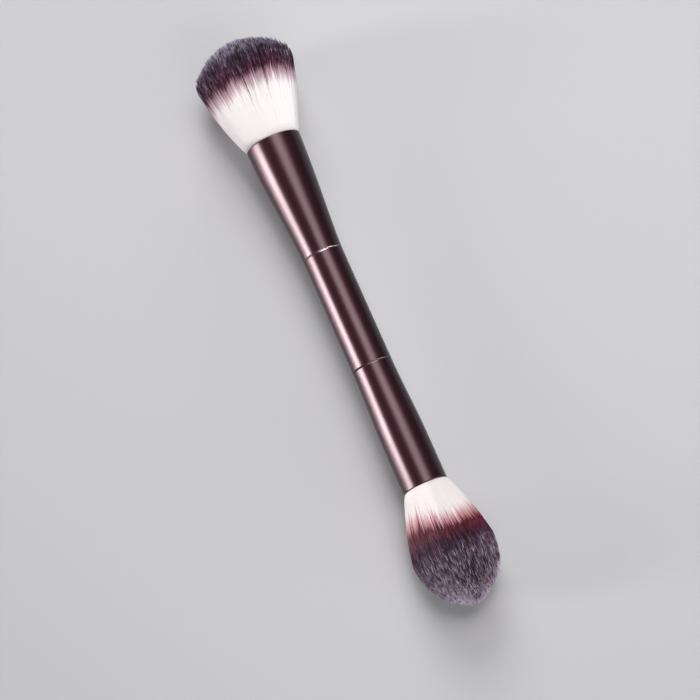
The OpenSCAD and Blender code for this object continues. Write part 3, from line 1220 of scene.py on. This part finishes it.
class BRUSH_OT_dome_bristles(bpy.types.Operator):
    """Make the fibres whose tips form the domes"""

    bl_idname = "brush_part.dome_bristles"
    bl_label = "Dome bristles"

    def execute(self, context):
        for which in HEADS:
            head = head_of(context.scene, which)
            random = random_for(head, "dome")
            n = head.set.dome_fibres
            name = which + "_dome_bristles"
            m = np.sqrt(random.uniform(0, 1, n))
            a = random.uniform(0, 2 * math.pi, n)
            end = head.tip_of(m) + random.normal(0, DOME_UNEVEN, n)
            fuzz = random.uniform(0, 1, n) < head.set.fuzz
            end += fuzz * random.uniform(*FUZZ_PROUD, n) * MM
            start = end - random.uniform(*DOME_LENGTHS, n) * MM
            fibre_r = random.uniform(*DOME_RADII, n) * MM * np.where(fuzz, FUZZ_THICKNESS, 1)
            mesh = fibres(name, head, m, a, start, end, SHORT_STEPS, fibre_r, random, head.set.pull, fuzz)
            material = bristle_material(which + "_dome_dye_and_shade", head, True)
            new_object(name, mesh, material, head.node)
        return {"FINISHED"}


# Stray fibres start this far inside the head's surface, and have this radius
STRAY_FOOT = 0.1 * MM
STRAY_R = 0.04 * MM

# Where round the head they are, as shares of half a turn, where they start and how long they are, as
# shares of its length, and how many millimetres their ends stand off. They turn this far on the way
STRAY_ROUND = (-0.2, 1.2)
STRAY_STARTS = (0.1, 0.5)
STRAY_LENGTHS = (0.25, 0.4)
STRAY_PROUD = (0.2, 0.9)
STRAY_TURN = 0.03

# The shades of strays, and how sharply they bend away
STRAY_SHADES = (0.4, 1)
STRAY_BEND = 1.5


class BRUSH_OT_stray_bristles(bpy.types.Operator):
    """Make the few fibres that stick out of each head"""

    bl_idname = "brush_part.stray_bristles"
    bl_label = "Stray bristles"

    def execute(self, context):
        for which in HEADS:
            head = head_of(context.scene, which)
            random = random_for(head, "strays")
            n = head.set.strays
            name = which + "_stray_bristles"
            a = random.uniform(*(share * math.pi for share in STRAY_ROUND), n)
            start = random.uniform(*STRAY_STARTS, n) * head.length
            size = random.uniform(*STRAY_LENGTHS, n) * head.length
            out = random.uniform(*STRAY_PROUD, n) * MM
            t = np.array(LONG_STEPS)[None]
            s = start[:, None] + size[:, None] * t
            r = head.flow(s) + out[:, None] * t**STRAY_BEND - STRAY_FOOT
            angle = a[:, None] + random.normal(0, STRAY_TURN, n)[:, None] * t
            level = head.level(s + Dye(head).edge(a)[:, None])
            shade = random.uniform(*STRAY_SHADES, n)
            mesh = fibre_mesh(name, head.put(s, angle, r), np.full(n, STRAY_R), shade, level)
            material = bristle_material(which + "_stray_dye_and_shade", head, True)
            new_object(name, mesh, material, head.node)
        return {"FINISHED"}


# The soft lights stand this far off. Each has its name, the setting of its brightness and its share
# of it, the way to it, the way that its width runs, its width and height, and its tint
LIGHT_DISTANCE = 1.6
ROSY = (1.0, 0.95, 0.97)
WARM = (1.0, 0.97, 0.96)
COOL = (0.98, 0.98, 1.0)
BLUISH = (0.95, 0.97, 1.0)
ALONG = (1, 0, 0)
SIDEWAYS = (0, 1, 0)
SOFTBOXES = (
    ("strip", "strip", 1, (0.21, 0.96, 0.14), ALONG, 0.26, 1.0, ROSY),
    ("key", "key", 0.4, (0.24, -0.24, 0.94), ALONG, 0.9, 1.25, WARM),
    ("key_middle", "key", 0.6, (0.24, -0.22, 0.94), ALONG, 0.9, 0.7, WARM),
    ("low", "low", 1, (-0.9, -0.4, 0.22), (0.4, -0.9, 0), 1.4, 0.24, COOL),
    ("powder_end", "powder_end", 1, (0.8, -0.15, 0.6), SIDEWAYS, 0.9, 0.8, COOL),
    ("tapered_end", "tapered_end", 1, (-0.72, 0.05, 0.69), SIDEWAYS, 0.9, 0.8, COOL),
    ("fill", "fill", 1, (-0.62, -0.74, 0.26), (0.74, -0.62, 0), 0.7, 0.5, BLUISH),
)

SENSOR = 36
SKY_TINT = (0.9, 0.93, 1.0, 1)

# The floor reaches this far each way. It shines a little, because its reflection of the strip light
# makes the outer part of the bright stripe on the handle
FLOOR_REACH = 4.0
FLOOR_ROUGHNESS = 0.3
FLOOR_CLOUDING = 0.015


class BRUSH_OT_studio(bpy.types.Operator):
    """Set the camera, the pale floor and the soft lights"""

    bl_idname = "brush_part.studio"
    bl_label = "Studio"

    def execute(self, context):
        scene = context.scene
        p = scene.brush_studio
        self.camera(scene, p)
        self.floor(scene, p)
        self.sky(scene, p)
        for name, setting, share, way, width_way, wide, high, tint in SOFTBOXES:
            position = Vector(way).normalized() * LIGHT_DISTANCE
            brightness = getattr(p, setting) * share
            self.softbox(scene, name, position, Vector(width_way), wide, high, brightness, tint)
        scene.view_settings.view_transform = "Standard"
        return {"FINISHED"}

    def camera(self, scene, p):
        data = bpy.data.cameras.new("camera")
        data.sensor_width = SENSOR
        data.lens = p.lens
        data.clip_start = 0.01
        data.clip_end = 50
        camera = bpy.data.objects.new("camera", data)
        scene.collection.objects.link(camera)
        a, e = p.azimuth, p.elevation
        back = Vector((math.sin(a) * math.cos(e), -math.cos(a) * math.cos(e), math.sin(e)))
        camera.rotation_mode = "QUATERNION"
        camera.location = Vector((p.aim_x, p.aim_y, 0)) + back * p.distance
        camera.rotation_quaternion = (-back).to_track_quat("-Z", "Y")
        scene.camera = camera

    def floor(self, scene, p):
        mesh = bpy.data.meshes.new("floor")
        corners = [(x * FLOOR_REACH, y * FLOOR_REACH, 0) for x, y in ((-1, -1), (1, -1), (1, 1), (-1, 1))]
        mesh.from_pydata(corners, [], [(0, 1, 2, 3)])
        floor = bpy.data.objects.new("floor", mesh)
        scene.collection.objects.link(floor)
        material, tree, shader = new_material("floor_paint")
        grain = group_node(tree, fine_grain_group(), Scale=(3, 3, 3), Detail=2.0, Contrast=0.5)
        paint = shaded(tree, grain, p.floor, 1 - FLOOR_CLOUDING, 1 + FLOOR_CLOUDING)
        feed(tree, shader.inputs["Base Color"], paint)
        shader.inputs["Roughness"].default_value = FLOOR_ROUGHNESS
        mesh.materials.append(material)

    def sky(self, scene, p):
        world = bpy.data.worlds.new("sky")
        world.use_nodes = True
        background = world.node_tree.nodes["Background"]
        background.inputs["Color"].default_value = SKY_TINT
        background.inputs["Strength"].default_value = p.sky
        scene.world = world

    def softbox(self, scene, name, position, width_way, wide, high, brightness, tint):
        """A one sided rectangle of even brightness, in watts a square metre and steradian."""
        data = bpy.data.lights.new(name, "AREA")
        data.shape = "RECTANGLE"
        data.size = wide
        data.size_y = high
        data.energy = brightness * math.pi * wide * high
        data.color = tint
        light = bpy.data.objects.new(name, data)
        z = position.normalized()
        x = (width_way - z * z.dot(width_way)).normalized()
        light.location = position
        light.rotation_mode = "QUATERNION"
        light.rotation_quaternion = Matrix((x, z.cross(x), z)).transposed().to_quaternion()
        scene.collection.objects.link(light)


OPERATORS = (
    BRUSH_OT_ferrules,
    BRUSH_OT_sleeve,
    BRUSH_OT_inner_parts,
    BRUSH_OT_bristle_cores,
    BRUSH_OT_side_bristles,
    BRUSH_OT_dome_bristles,
    BRUSH_OT_stray_bristles,
    BRUSH_OT_studio,
)


class BRUSH_PT_panel(bpy.types.Panel):
    """Lists the steps that dress the brush"""

    bl_idname = "BRUSH_PT_panel"
    bl_label = "Makeup brush"
    bl_space_type = "VIEW_3D"
    bl_region_type = "UI"
    bl_category = "Brush"

    def draw(self, context):
        for operator in OPERATORS:
            self.layout.operator(operator.bl_idname)


SETTINGS = {
    "brush_handle": HandleSettings,
    "powder_head": PowderHead,
    "tapered_head": TaperedHead,
    "brush_studio": StudioSettings,
}
CLASSES = (*SETTINGS.values(), *OPERATORS, BRUSH_PT_panel)


def register():
    for cls in CLASSES:
        bpy.utils.register_class(cls)
    for name, group in SETTINGS.items():
        setattr(bpy.types.Scene, name, PointerProperty(type=group))


def unregister():
    for name in SETTINGS:
        delattr(bpy.types.Scene, name)
    for cls in reversed(CLASSES):
        bpy.utils.unregister_class(cls)


def main():
    register()
    for operator in OPERATORS:
        group, name = operator.bl_idname.split(".")
        getattr(getattr(bpy.ops, group), name)()


if __name__ == "__main__":
    main()
